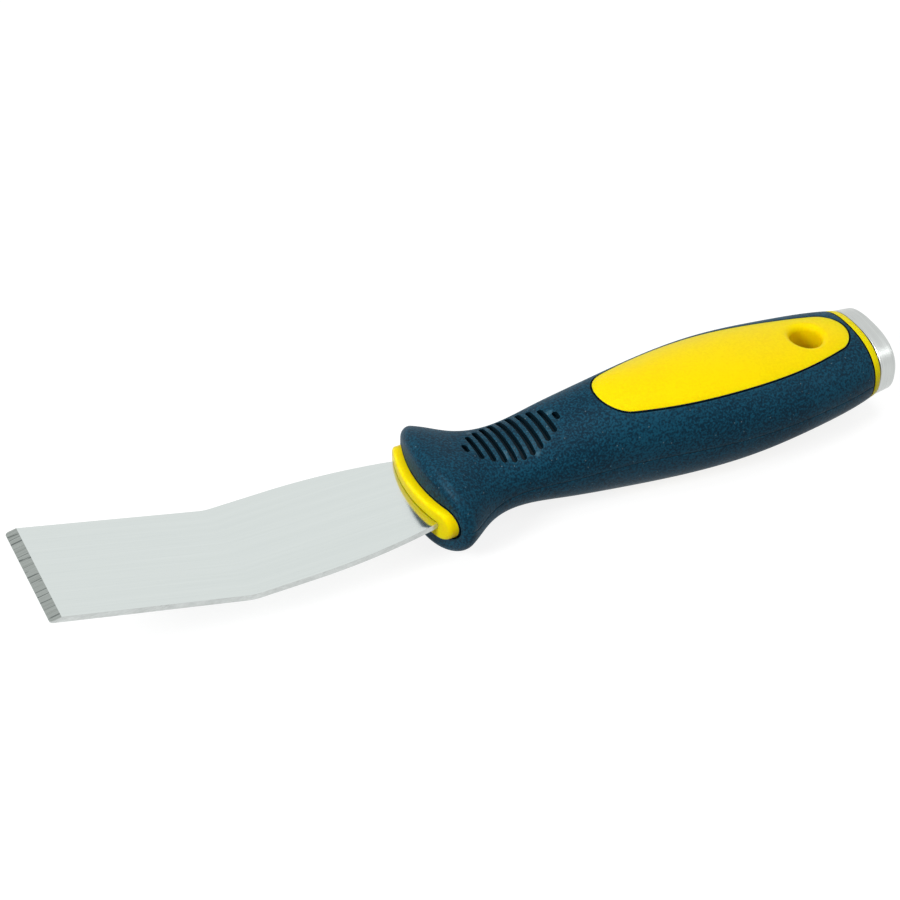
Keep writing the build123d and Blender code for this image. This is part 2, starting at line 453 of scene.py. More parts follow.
def addFlange(shell, front, sinks):
    # body rows, rounded rim, face rows, collar opening, then back along the inner skin
    turns = gripColumns(front)
    edgeX = np.full(len(turns), gripFront)
    for _ in range(12):
        # closes in on the line where the skin would meet the front face
        edgeX = frontFace(skin(edgeX, turns)[:, 1])
    tangentX = edgeX - grip["rimRadius"]
    rows = []
    for k in range(grip["bodyRows"] + 1):
        points = skin(front + (tangentX - front) * k / grip["bodyRows"], turns)
        rows.append(points - skinNormal(points) * sinks[:, None])
    startWay = unit(skin(tangentX, turns) - skin(tangentX - 0.1, turns))
    edge = skin(edgeX, turns)
    end = edge + unit(-skinNormal(edge) * (0, 1, 1)) * grip["rimRadius"]
    end[:, 0] = frontFace(end[:, 1])
    hold = grip["rimHold"] * grip["rimRadius"]
    corners = [rows[-1], rows[-1] + startWay * hold, end - unit(end - edge) * hold, end]
    for k in range(1, grip["rimRows"] + 1):
        t = k / grip["rimRows"]
        shares = ((1 - t) ** 3, 3 * t * (1 - t) ** 2, 3 * t ** 2 * (1 - t), t ** 3)
        rows.append(sum(share * corner for share, corner in zip(shares, corners)))
    share, opening = turns / np.pi, collar["gap"] / 2
    y, z = collarHalf(share, opening + grip["lip"])
    for k in range(1, grip["faceRows"] + 1):
        t = k / grip["faceRows"]
        rowY = end[:, 1] * (1 - t) + y * t
        rows.append(columns(frontFace(rowY), rowY, end[:, 2] * (1 - t) + z * t))
    for way, sink in quarterRound(grip["lip"])[1:]:
        y, z = collarHalf(share, opening + grip["lip"] - way)
        rows.append(columns(frontFace(y) - sink, y, z))
    rows.append(columns(frontFace(y) - grip["frontWall"], y, z))
    inside = skin(edgeX - grip["frontWall"], turns, grip["wall"])
    rows += [rows[-1] + (inside - rows[-1]) * k / 3 for k in (1, 2)]
    rows += [
        skin(edgeX - grip["frontWall"] + (front - edgeX + grip["frontWall"]) * k / 4, turns, grip["wall"])
        for k in range(5)
    ]
    shell.strip(rows, closed=False)


def makeGrip(material):
    shell = Shell()
    front, rear = gripFront - grip["flangeRows"], gripRear + grip["lip"]
    depths = [depth for height, depth in grip["parting"]]
    sinks = np.array(depths + [0.0] * (grip["columnCount"] - 1) + depths[::-1])

    # outer sheet with openings for the panel and the comb
    stations = np.linspace(front, rear, int((front - rear) / grip["sheetSpacing"]))
    seam = panel["gap"] / 2
    openings = [unrolled(panelOutline(seam + grip["lip"]))]
    openings += [unrolled(loop) for loop in combOutlines(comb["lip"])]
    border = sheetBorder(front, rear, stations, len(grip["parting"]) - 1)
    shell.sheet([border, *openings], grip["sheetSpacing"], rolledOn)

    # moulding line down both sides
    for turnSide in (False, True):
        rows = []
        for height, depth in grip["parting"]:
            turn = np.array([turnOfHeight(x, height) for x in stations])
            points = skin(stations, np.pi - turn if turnSide else turn)
            rows.append(points - skinNormal(points) * depth)
        shell.strip(rows, closed=False)

    # panel opening: rounded rim, then straight down to the inner skin
    rows = [overPlan(panelOutline(seam + grip["lip"] - way), sink) for way, sink in quarterRound(grip["lip"])]
    bottom = overPlan(panelOutline(seam), inset=grip["wall"])
    rows += [rows[-1] + (bottom - rows[-1]) * k / 4 for k in range(1, 5)]
    shell.strip(rows)

    addComb(shell)
    addFlange(shell, front, sinks)

    # rear lip and the end wall that meets the ring
    turns = gripColumns(rear)
    rows = []
    for k, (way, sink) in enumerate(quarterRound(grip["lip"])):
        points = skin(np.full(len(turns), rear - way), turns, sink)
        rows.append(points - skinNormal(points) * sinks[:, None] * (k == 0))
    rows += [
        skin(np.full(len(turns), gripRear), turns, grip["lip"] + (grip["wall"] - grip["lip"]) * k / 3)
        for k in (1, 2, 3)
    ]
    shell.strip(rows, closed=False)

    # inner skin
    stations = np.linspace(front, gripRear, int((front - gripRear) / (2 * grip["sheetSpacing"])))
    border = np.vstack([
        columns(front, gripColumns(front)), columns(stations, np.pi)[1:-1],
        columns(gripRear, gripColumns(rear))[::-1], columns(stations, 0.0)[::-1][1:-1],
    ]) * (1, grip["sheetScale"])
    opening = unrolled(panelOutline(seam), grip["wall"])
    shell.sheet([border, opening], 2 * grip["sheetSpacing"], rolledOn, grip["wall"])
    shell.mirrored()
    return shell.build("soft_grip_skin", material)


def makeCollar(material):
    shell = Shell()
    reach = collar["halfWidth"] - collar["halfHeight"]
    radius = collar["halfHeight"] - collar["gap"] / 2
    proudFace = gripFront + collar["proud"]
    rootX = gripFront - collar["root"]

    def outline(grow):
        return stadium((0, 0), reach, radius + grow, 30, 50)[:, ::-1]

    def slot(grow):
        halfWide = blade["thickness"] / 2 + collar["slotPlay"]
        halfLong = blade["rootWidth"] / 2 + collar["slotPlay"]
        return stadium((0, 0), halfLong - halfWide, halfWide + grow, 9, 36)[:, ::-1]

    def onFace(flat, sink=0.0):
        return columns(frontFace(flat[:, 0]) - gripFront + proudFace - sink, flat)

    shell.sheet([outline(-collar["edge"]), slot(collar["slotLip"])], 0.8, onFace)
    for loop, rounding, sign in ((outline, collar["edge"], -1), (slot, collar["slotLip"], 1)):
        rows = [onFace(loop(sign * (rounding - way)), sink) for way, sink in quarterRound(rounding, 8)]
        rows += [onFace(loop(0.0), rounding + (collar["proud"] - rounding) * k / 3) for k in (1, 2, 3)]
        rows += [rows[-1] + ((rootX - rows[-1][:, :1]) * (1, 0, 0)) * k / 6 for k in range(1, 7)]
        shell.strip(rows)
    shell.sheet([outline(0.0), slot(0.0)], 2.0, lambda flat: columns(rootX, flat))
    return shell.build("collar", material)


# rear ring of the core: the visible ring and the spigot inside the cap, with a way through for the tang
ring = {
    "round": 0.3, "play": 0.1, "spigotInset": 1.6, "tangHalfLong": 10.1, "tangHalfWide": 0.9,
    "columns": 120,
}
cap = {
    "power": 2.5, "frontHalf": (12.85, 9.15), "endHalf": (12.25, 8.75), "wall": 1.5, "endWall": 2.2,
    "edge": 0.8, "lip": 0.15, "peenHalf": (4.85, 1.6), "tenonHalf": (4.1, 0.85), "peenLength": 1.0,
}
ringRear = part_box("strike_cap")[1].x / mm
around = np.linspace(0, 2 * np.pi, ring["columns"], endpoint=False)


def capOval(x, inset):
    share = np.broadcast_to(x / ringRear, around.shape)
    half = [end + (front - end) * share - inset for front, end in zip(cap["frontHalf"], cap["endHalf"])]
    y, z = [h * signedPower(f(around), 2 / cap["power"]) for h, f in zip(half, (np.cos, np.sin))]
    return columns(x, y, z)


def ringOval(x, inset):
    return skin(np.full(len(around), float(x)), around, inset)


def boxLoop(halfLong, halfWide, sideCount=12):
    # square-cornered outline, anticlockwise
    corners = np.array([(1, -1), (1, 1), (-1, 1), (-1, -1)]) * (halfLong, halfWide)
    steps = np.arange(sideCount)[:, None] / sideCount
    return np.vstack([a + (b - a) * steps for a, b in zip(corners, np.roll(corners, -1, 0))])


def capped(shell, x, loops, spacing):
    # a flat face across X, between loops of points that lie in it
    shell.sheet([loop[:, -2:] for loop in loops], spacing, lambda flat: columns(x, flat))


def makeRing(material):
    shell = Shell()
    front, rear = gripRear - panel["gap"], ringRear + panel["gap"]
    spigotEnd = cap["endWall"] + ring["play"]
    corner = quarterRound(ring["round"], 6)
    rows = [ringOval(front - sink, ring["round"] - way) for way, sink in corner]
    rows += [ringOval(rear + sink, ring["round"] - way) for way, sink in corner[::-1]]
    rows.append(capOval(rear, ring["spigotInset"]))
    rows += [capOval(rear + (spigotEnd - rear) * k / 3, ring["spigotInset"]) for k in (1, 2, 3)]
    shell.strip(rows)
    tangWay = boxLoop(ring["tangHalfLong"], ring["tangHalfWide"])
    capped(shell, front, [rows[0], tangWay], 2.0)
    capped(shell, spigotEnd, [rows[-1], tangWay], 2.0)
    shell.strip([columns(x, tangWay) for x in (front, spigotEnd)])
    return shell.build("rear_ring", material)


def makeCap(material):
    shell = Shell()
    shoulder, deep = ringRear - cap["lip"], ringRear - cap["endWall"]
    rows = [capOval(cap["endWall"] + deep * k / 3, cap["wall"]) for k in range(4)]
    rows.append(capOval(ringRear, cap["lip"]))
    rows += [capOval(shoulder - (shoulder - cap["edge"]) * k / 6, 0.0) for k in range(7)]
    rows += [capOval(sink, cap["edge"] - way) for way, sink in quarterRound(cap["edge"], 9)[::-1][1:]]
    shell.strip(rows)
    peen, tenon = boxLoop(*cap["peenHalf"]), boxLoop(*cap["tenonHalf"])
    capped(shell, 0.0, [rows[-1], peen], 0.9)
    capped(shell, cap["endWall"], [rows[0], tenon], 2.0)
    shell.strip([columns(0.0, peen), columns(cap["peenLength"], tenon), columns(cap["endWall"], tenon)])
    return shell.build("strike_cap_shell", material, crease=0.6)


# blade, drawn flat along its own length and then bent
blade = {
    "width": 31.75, "thickness": 1.5, "reach": 48.2, "frontLength": 49.0,
    "bendDegrees": 15.5, "bendRadius": 12.75,  # to the middle of the steel
    "bevelRun": 2.5, "tipThickness": 0.25, "rootWidth": 24.7, "taperLength": 33.0,
    "shoulderDepth": 5.0, "shoulderRadius": 1.5, "tangWidth": 13.0,
    "flareStart": 84.0, "flareEnd": 95.0, "padWidth": 20.0, "padEnd": 2.2, "tenonWidth": 8.0,
    "lockHoles": (42.0, 66.0), "lockRadius": 3.0, "hangRadius": 6.1,
    "edgeRound": 0.09, "cornerRadius": 0.8, "sheetSpacing": 1.1,
    # between points of the outline: the tip, four runs from its corner to the taper, the rest, the tang
    "tipSpacing": 0.6, "runSpacings": (0.5, 1.1, 0.16, 1.1), "sideSpacing": 1.1, "tangSpacing": 1.4,
    # lines of points across the steel, each this far inside the edges
    "bendLines": 9, "linePoints": 60, "lineMargin": 0.3,
}
blade["bend"] = np.radians(blade["bendDegrees"])
blade["bendStart"] = gripFront + blade["reach"] - blade["bendRadius"] * np.tan(blade["bend"] / 2)
blade["bendEnd"] = blade["bendStart"] + blade["bendRadius"] * blade["bend"]
blade["tip"] = blade["bendEnd"] + blade["frontLength"] - blade["bendRadius"] * np.tan(blade["bend"] / 2)
blade["bevelStart"] = blade["tip"] - blade["bevelRun"]


def bent(flat, rise):
    # along the steel and across it, and rise from its middle, to a point in the frame
    run, radius = flat[:, 0], blade["bendRadius"]
    turn = np.clip((run - blade["bendStart"]) / radius, 0, blade["bend"])
    rest = np.clip(run - blade["bendEnd"], 0, None)
    x = np.minimum(run, blade["bendStart"]) + np.sin(turn) * (radius - rise) + rest * np.cos(turn)
    z = radius - np.cos(turn) * (radius - rise) + rest * np.sin(turn)
    return columns(x, flat[:, 1], z)


def bladeTop(run):
    fall = (blade["thickness"] - blade["tipThickness"]) / blade["bevelRun"]
    return blade["thickness"] / 2 - np.clip(run - blade["bevelStart"], 0, None) * fall


def spaced(start, end, gap):
    return np.linspace(start, end, max(2, int(abs(end - start) / gap) + 1))


def bladeOutline():
    # one half, from the tip's middle round to the tang's end, and then the other
    half, root, tang = blade["width"] / 2, blade["rootWidth"] / 2, blade["tangWidth"] / 2
    corner, inner, gap = blade["cornerRadius"], blade["shoulderRadius"], blade["sideSpacing"]
    taperStart, drop = gripFront + blade["taperLength"], half - root
    taperRadius = (blade["taperLength"] ** 2 + drop ** 2) / (2 * drop)
    upper = [(blade["tip"], y) for y in spaced(0, half - corner, blade["tipSpacing"])]
    middle = blade["tip"] - corner, half - corner
    upper += [tuple(p) for p in arcPoints(middle, corner, 0, np.pi / 2, 7)[1:]]
    stops = blade["tip"] - corner, blade["bevelStart"], blade["bendEnd"], blade["bendStart"], taperStart
    for start, end, spacing in zip(stops, stops[1:], blade["runSpacings"]):
        upper += [(run, half) for run in spaced(start, end, spacing)[1:]]
    upper += [
        (x, half - taperRadius + (taperRadius ** 2 - (taperStart - x) ** 2) ** 0.5)
        for x in spaced(taperStart, gripFront, gap)[1:]
    ]
    shoulder = gripFront - blade["shoulderDepth"]
    upper += [(x, root) for x in spaced(gripFront, shoulder, gap)[1:]]
    upper += [(shoulder, y) for y in spaced(root, tang + inner, gap)[1:-1]]
    upper += [tuple(p) for p in arcPoints((shoulder - inner, tang + inner), inner, 0, -np.pi / 2, 6)]
    for end, halfWidth in (
        (gripFront - blade["flareStart"], tang), (gripFront - blade["flareEnd"], blade["padWidth"] / 2),
        (blade["padEnd"], blade["padWidth"] / 2), (blade["padEnd"], blade["tenonWidth"] / 2),
        (cap["peenLength"], blade["tenonWidth"] / 2), (cap["peenLength"], 0.0),
    ):
        length = np.hypot(end - upper[-1][0], halfWidth - upper[-1][1])
        steps = np.linspace(0, 1, max(2, int(length / blade["tangSpacing"]) + 1))[1:, None]
        upper += [tuple(p) for p in np.array(upper[-1]) + (np.array([end, halfWidth]) - upper[-1]) * steps]
    upper = np.array(upper)
    return np.vstack([upper, (upper * (1, -1))[-2:0:-1]])


def makeBlade(material):
    shell = Shell()
    soft, below = blade["edgeRound"], -blade["thickness"] / 2
    holes = [(gripFront - back, blade["lockRadius"]) for back in blade["lockHoles"]]
    holes.append((gripFront - hole["back"], blade["hangRadius"]))
    loops = [bladeOutline()] + [arcPoints((x, 0), r, 0, -2 * np.pi, 41)[:-1] for x, r in holes]
    tips = blade["width"] / 2 - blade["lineMargin"]
    runs = [blade["bevelStart"], *np.linspace(blade["bendStart"], blade["bendEnd"], blade["bendLines"])]
    lines = [columns(run, np.linspace(-tips, tips, blade["linePoints"])) for run in runs]
    flat, faces = fillSheet([offsetLoop(loop, -soft) for loop in loops], blade["sheetSpacing"], lines)
    shell.add(bent(flat, bladeTop(flat[:, 0])), faces)
    shell.add(bent(flat, below), faces[:, ::-1])
    for loop in loops:
        edges = [(offsetLoop(loop, way - soft), sink) for way, sink in quarterRound(soft, 4)]
        rows = [bent(edge, bladeTop(edge[:, 0]) - sink) for edge, sink in edges]
        shell.strip(rows + [bent(edge, below + sink) for edge, sink in edges[::-1]])
    return shell.build("blade_steel", material, crease=0.35)


peen = {"sunk": 0.05, "round": 0.12, "play": 0.04, "sheetSpacing": 0.7}


def makePeen(material):
    # the tang's end, spread flush in the cap's face
    shell = Shell()
    rows = [
        columns(x, boxLoop(halfLong - less - peen["play"], halfWide - less - peen["play"]))
        for x, less, (halfLong, halfWide) in (
            (peen["sunk"], peen["round"], cap["peenHalf"]), (peen["round"], 0.0, cap["peenHalf"]),
            (cap["peenLength"], 0.0, cap["tenonHalf"]),
        )
    ]
    shell.strip(rows)
    capped(shell, peen["sunk"], [rows[0]], peen["sheetSpacing"])
    capped(shell, cap["peenLength"], [rows[-1]], peen["sheetSpacing"])
    return shell.build("peened_tang_end", material, crease=0.5)


# materials: what several of them need is a node group, and the shaders stay in the materials
def put(tree, kind, inputs=None, **settings):
    node = tree.nodes.new(kind)
    for key, value in settings.items():
        setattr(node, key, value)
    for key, value in (inputs or {}).items():
        if isinstance(value, bpy.types.NodeSocket):
            tree.links.new(value, node.inputs[key])
        else:
            node.inputs[key].default_value = value
    return node


def mixValues(tree, factor, first, second):
    return put(tree, "ShaderNodeMix", {0: factor, 2: first, 3: second}).outputs[0]


def mixColours(tree, factor, first, second):
    return put(tree, "ShaderNodeMix", {0: factor, 6: first, 7: second}, data_type="RGBA").outputs[2]


def spread(tree, value, fromRange, toRange=(0.0, 1.0)):
    inputs = dict(enumerate((value, *fromRange, *toRange)))
    return put(tree, "ShaderNodeMapRange", inputs).outputs["Result"]


def calc(tree, operation, first, second):
    return put(tree, "ShaderNodeMath", {0: first, 1: second}, operation=operation).outputs["Value"]


def laidOver(tree, colour, top, mask, amount):
    return mixColours(tree, calc(tree, "MULTIPLY", mask, amount), colour, top)


def noise(tree, where, scale, detail):
    inputs = {"Vector": where, "Scale": scale, "Detail": detail}
    return put(tree, "ShaderNodeTexNoise", inputs).outputs["Fac"]


def newGroup(name, inputs, outputs):
    tree = bpy.data.node_groups.new(name, "ShaderNodeTree")
    for side, labels in (("INPUT", inputs), ("OUTPUT", outputs)):
        for label in labels:
            tree.interface.new_socket(label, in_out=side, socket_type="NodeSocketFloat")
    given, out = put(tree, "NodeGroupInput").outputs, put(tree, "NodeGroupOutput").inputs
    where = put(tree, "ShaderNodeTexCoord").outputs["Object"]
    return tree, given, out, where


def mouldGrain():
    # fine moulded texture, and slow unevenness of tone
    inputs = "Grain Scale", "Cloud Scale", "Cloud Share"
    tree, given, out, where = newGroup("mouldGrain", inputs, ("Height", "Tone"))
    grain = noise(tree, where, given["Grain Scale"], 2.0)
    cloud = noise(tree, where, given["Cloud Scale"], 4.0)
    tree.links.new(grain, out["Height"])
    tree.links.new(mixValues(tree, given["Cloud Share"], grain, cloud), out["Tone"])
    return tree


def drawnLines():
    # fine lines of a belt or wheel, which run the way that has the smallest scale
    inputs = "X Scale", "Y Scale", "Z Scale", "Broad Share"
    tree, given, out, where = newGroup("drawnLines", inputs, ("Height", "Tone"))
    scales = {axis: given[f"{axis} Scale"] for axis in "XYZ"}
    scale = put(tree, "ShaderNodeCombineXYZ", scales).outputs["Vector"]
    placed = put(tree, "ShaderNodeVectorMath", {0: where, 1: scale}, operation="MULTIPLY").outputs["Vector"]
    fine, broad = noise(tree, placed, 1.0, 3.0), noise(tree, placed, 0.2, 2.0)
    tree.links.new(fine, out["Height"])
    tree.links.new(mixValues(tree, given["Broad Share"], fine, broad), out["Tone"])
    return tree


def edgeMask():
    # a mask from pointiness, broken up by noise: of edges when From is below To, of creases when it is above.
    # It places wear, and on the rubber also a painted highlight along rims and painted shade in creases
    patchTo = 0.65
    tree, given, out, where = newGroup("edgeMask", ("From", "To", "Patch Scale", "Patch From"), ("Mask",))
    sharp = put(tree, "ShaderNodeNewGeometry").outputs["Pointiness"]
    edge = spread(tree, sharp, (given["From"], given["To"]))
    broken = spread(tree, noise(tree, where, given["Patch Scale"], 4.0), (given["Patch From"], patchTo))
    tree.links.new(calc(tree, "MULTIPLY", edge, broken), out["Mask"])
    return tree


def handlingMarks():
    # patches dulled by hands, and tiny specks of dust
    inputs = "Patch Scale", "Speck Scale", "Speck Size"
    tree, given, out, where = newGroup("handlingMarks", inputs, ("Patch", "Speck"))
    patch = noise(tree, where, given["Patch Scale"], 5.0)
    cell = put(tree, "ShaderNodeTexVoronoi", {"Vector": where, "Scale": given["Speck Scale"]})
    tree.links.new(patch, out["Patch"])
    tree.links.new(calc(tree, "LESS_THAN", cell.outputs["Distance"], given["Speck Size"]), out["Speck"])
    return tree


effects = {make.__name__: make() for make in (mouldGrain, drawnLines, edgeMask, handlingMarks)}
print("shader groups:", ", ".join(effects))


def newMaterial(name, plain):
    # plain holds the values that are the same all over the surface
    material = bpy.data.materials.new(name)
    material.use_nodes = True
    tree = material.node_tree
    shader = tree.nodes["Principled BSDF"]
    for label, value in plain.items():
        shader.inputs[label].default_value = value
    return material, tree, shader


def place(tree, name, values):
    node = put(tree, "ShaderNodeGroup", node_tree=effects[name])
    for socket, value in zip(node.inputs, values, strict=True):
        socket.default_value = value
    return node.outputs


def dress(tree, shader, colour, roughness, bumps):
    # joins what a material works out to its shader; bumps are height, strength and depth in metres
    normal = {}
    for height, strength, depth in bumps:
        inputs = {"Height": height, "Strength": strength, "Distance": depth, **normal}
        normal = {"Normal": put(tree, "ShaderNodeBump", inputs).outputs["Normal"]}
    for label, socket in {"Base Color": colour, "Roughness": roughness, **normal}.items():
        tree.links.new(socket, shader.inputs[label])


# values for the shared groups, in the order of their inputs. mouldGrain: scale of grain and clouds, share of
# clouds. drawnLines: scale along X, Y and Z, share of broad lines. marks: scale of patches and specks, size
# of a speck. wearAndHighlightEdges and crease: where they start and are full, scale of patches, where those
# start;
# on the rubber they place the painted highlight on rims and the painted shade in creases.
# toneSpan and roughSpan are the part of a noise's range that leads from one end to the other
rubberLook = {
    "dark": (0.0008, 0.016, 0.032, 1.0), "light": (0.0048, 0.057, 0.100, 1.0), "toneSpan": (0.42, 0.60),
    # painted highlight: a paler blue along rims and crests such as the flange's, where the lamps would catch;
    # gloss is the coat on the same rims
    "wearAndHighlight": (0.014, 0.105, 0.160, 1.0), "wearAndHighlightAmount": 0.5, "gloss": (0.0, 0.5),
    "dust": (0.20, 0.27, 0.29, 1.0), "dustAmount": 0.35,
    # painted shade: near-black rubber for the slots and seams, and for concave creases through the crease
    # mask
    "slot": (0.0008, 0.008, 0.014, 1.0), "slotAmount": 0.35,
    "roughSpan": (0.35, 0.65), "roughness": (0.42, 0.60), "bump": (0.5, 0.00015),
    "mouldGrain": (1900.0, 45.0, 0.25), "marks": (30.0, 420.0, 0.075),
    "wearAndHighlightEdges": (0.512, 0.56, 90.0, 0.2), "crease": (0.494, 0.47, 90.0, -1.0),
    "plain": {
        "Specular IOR Level": 0.08, "Coat Roughness": 0.32, "Coat IOR": 1.45,
        "Sheen Weight": 0.06, "Sheen Roughness": 0.35, "Sheen Tint": (0.45, 0.75, 0.9, 1.0),
    },
}


def makeRubber(name, asPaintedShade=False):
    look = rubberLook
    material, tree, shader = newMaterial(name, look["plain"])
    grain, marks = place(tree, "mouldGrain", look["mouldGrain"]), place(tree, "handlingMarks", look["marks"])
    tone = spread(tree, grain["Tone"], look["toneSpan"])
    if asPaintedShade:
        # painted shade: the whole surface near-black, for slot and seam walls
        colour = laidOver(tree, look["slot"], look["dark"], tone, look["slotAmount"])
    else:
        wearAndHighlightEdges, crease = place(tree, "edgeMask", look["wearAndHighlightEdges"]), place(tree, "edgeMask", look["crease"])
        colour = mixColours(tree, tone, look["dark"], look["light"])
        # painted highlight: paler blue on the rims, which also get the coat below
        colour = laidOver(tree, colour, look["wearAndHighlight"], wearAndHighlightEdges["Mask"], look["wearAndHighlightAmount"])
        # painted shade: darker towards near-black in concave creases
        colour = mixColours(tree, crease["Mask"], colour, look["slot"])
        colour = laidOver(tree, colour, look["dust"], marks["Speck"], look["dustAmount"])
        tree.links.new(spread(tree, wearAndHighlightEdges["Mask"], (0.0, 1.0), look["gloss"]), shader.inputs["Coat Weight"])
    roughness = spread(tree, marks["Patch"], look["roughSpan"], look["roughness"])
    dress(tree, shader, colour, roughness, [(grain["Height"], *look["bump"])])
    return material


# materials of two tones, paler on worn edges
yellowLook = {
    "dark": (0.83, 0.60, 0.0, 1.0), "light": (0.89, 0.672, 0.0, 1.0), "toneSpan": (0.36, 0.6),
    "wearAndHighlight": (0.94, 0.76, 0.03, 1.0), "wearAndHighlightAmount": 0.5, "roughSpan": (0.35, 0.65),
    "roughness": (0.36, 0.50), "bumps": (("Height", 0.12, 0.00005), ("Speck", 0.2, 0.00003)),
    "mouldGrain": (1500.0, 40.0, 0.45), "marks": (40.0, 800.0, 0.05), "wearAndHighlightEdges": (0.53, 0.60, 260.0, 0.45),
    "plain": {
        "Specular IOR Level": 0.2, "Specular Tint": (1.0, 0.84, 0.1, 1.0),
        "Subsurface Weight": 0.5, "Subsurface Radius": (1.0, 0.5, 0.02), "Subsurface Scale": 0.006,
    },
}
bladeLook = {
    "dark": (0.660, 0.710, 0.695, 1.0), "light": (0.690, 0.739, 0.723, 1.0), "toneSpan": (0.34, 0.66),
    "wearAndHighlight": (0.80, 0.83, 0.82, 1.0), "wearAndHighlightAmount": 0.3, "linesShare": 0.25, "roughSpan": (0.38, 0.62),
    "roughness": (0.12, 0.17), "bumps": (("Height", 0.02, 0.00002),),
    "drawnLines": (45.0, 3600.0, 45.0, 0.5), "marks": (32.0, 500.0, 0.03), "wearAndHighlightEdges": (0.56, 0.72, 400.0, 0.4),
    "plain": {"Metallic": 1.0},
}
# sheared sides, duller than the faces; their darker colour is partly painted shade along the edges
sideLook = {
    **bladeLook, "dark": (0.46, 0.485, 0.475, 1.0), "light": (0.60, 0.63, 0.62, 1.0),
    "roughness": (0.25, 0.4), "bumps": (("Height", 0.2, 0.00002),),
    "drawnLines": (900.0, 3600.0, 1800.0, 0.5),
}
capLook = {
    **bladeLook, "dark": (0.48, 0.50, 0.49, 1.0), "light": (0.57, 0.595, 0.58, 1.0),
    "wearAndHighlight": (0.74, 0.75, 0.74, 1.0), "wearAndHighlightAmount": 0.7, "linesShare": 0.5,
    "roughness": (0.27, 0.36), "bumps": (("Speck", -0.1, 0.00002),),
    "drawnLines": (4200.0, 90.0, 90.0, 0.3), "marks": (140.0, 650.0, 0.09), "wearAndHighlightEdges": (0.54, 0.66, 350.0, 0.35),
}


def makeWorn(name, look, texture):
    material, tree, shader = newMaterial(name, look["plain"])
    weave, marks = place(tree, texture, look[texture]), place(tree, "handlingMarks", look["marks"])
    wearAndHighlightEdges = place(tree, "edgeMask", look["wearAndHighlightEdges"])
    colour = mixColours(tree, spread(tree, weave["Tone"], look["toneSpan"]), look["dark"], look["light"])
    colour = laidOver(tree, colour, look["wearAndHighlight"], wearAndHighlightEdges["Mask"], look["wearAndHighlightAmount"])
    uneven = marks["Patch"]
    if "linesShare" in look:
        uneven = mixValues(tree, look["linesShare"], uneven, weave["Tone"])
    roughness = spread(tree, uneven, look["roughSpan"], look["roughness"])
    heights = {"Height": weave["Height"], "Speck": marks["Speck"]}
    dress(tree, shader, colour, roughness, [(heights[label], *bump) for label, *bump in look["bumps"]])
    return material


bevelLook = {
    # darker than the faces: partly the ground finish, partly painted shade for the darker surroundings the
    # slope would mirror
    "dark": (0.29, 0.317, 0.30, 1.0), "light": (0.40, 0.435, 0.415, 1.0),
    "mark": (0.085, 0.10, 0.098, 1.0), "markAmount": 0.75,
    "markSpacing": 0.0021, "markShare": 0.09, "markWander": (-0.9, 0.9), "driftSpan": (0.3, 0.7),
    "toneSpan": (0.34, 0.66), "roughSpan": (0.35, 0.65), "roughness": (0.22, 0.36), "bump": (0.3, 0.00003),
    "lines": (60.0, 5000.0, 60.0, 0.35), "drift": (12.0, 330.0, 12.0, 0.4), "plain": {"Metallic": 1.0},
}


def makeBevelSteel():
    # ground edge: fine grinding lines up the slope, and darker chatter marks among them
    look = bevelLook
    material, tree, shader = newMaterial("groundBevel", look["plain"])
    lines, drift = place(tree, "drawnLines", look["lines"]), place(tree, "drawnLines", look["drift"])
    where = put(tree, "ShaderNodeTexCoord").outputs["Object"]
    across = put(tree, "ShaderNodeSeparateXYZ", {0: where}).outputs["Y"]
    wander = spread(tree, drift["Height"], look["driftSpan"], look["markWander"])
    shifted = calc(tree, "ADD", across, calc(tree, "MULTIPLY", wander, look["markSpacing"]))
    step = calc(tree, "DIVIDE", shifted, look["markSpacing"])
    beat = put(tree, "ShaderNodeMath", {0: step}, operation="FRACT").outputs["Value"]
    mark = calc(tree, "LESS_THAN", beat, look["markShare"])
    colour = mixColours(tree, spread(tree, lines["Tone"], look["toneSpan"]), look["dark"], look["light"])
    colour = laidOver(tree, colour, look["mark"], mark, look["markAmount"])
    roughness = spread(tree, lines["Tone"], look["roughSpan"], look["roughness"])
    dress(tree, shader, colour, roughness, [(lines["Height"], *look["bump"])])
    return material


# putting the pieces together
def coat(piece, others, choose):
    # gives each face the material whose number choose names; 0 is the piece's own
    for material in others:
        piece.data.materials.append(material)
    for face in piece.data.polygons:
        face.material_index = choose(face.center / mm, face.normal)


def bladeCoat(centre, normal):
    # 1 on the ground slope, 2 on the sides
    slope, flat = np.sin(blade["bend"]), np.cos(blade["bend"])
    start = Vector((blade["bendStart"], 0, 0))
    run = (centre - start).dot(Vector((flat, 0, slope))) + blade["bendStart"]
    if abs(normal.y) > 0.25:
        return 2
    return int(run > blade["bevelStart"] + 0.1 and normal.dot(Vector((-slope, 0, flat))) > 0.5)


def sinkOf(centre):
    # how far a point lies inside the handle's skin
    return skin(centre.x, turnAt(centre.x, centre.y))[2] - abs(centre.z)


def slotCoat(centre, normal):
    # 1 inside the comb's slots and on the walls of the panel's opening, which get the near-black rubber as
    # painted shade
    back, reach = gripFront - centre.x, comb["pitch"] * (comb["slots"] + 1) / 2 + 1
    inComb = abs(back - comb["middle"]) < reach and abs(centre.y) < comb["longHalf"] + 1
    alongPanel = panel["nose"] - 1 < back < panel["tail"] + 1
    if not inComb and not (alongPanel and abs(centre.y) < panel["waistHalfWidth"] + 0.6):
        return 0
    return int(0.3 < sinkOf(centre) < comb["depth"] + 0.2 if inComb else sinkOf(centre) > 0.05)


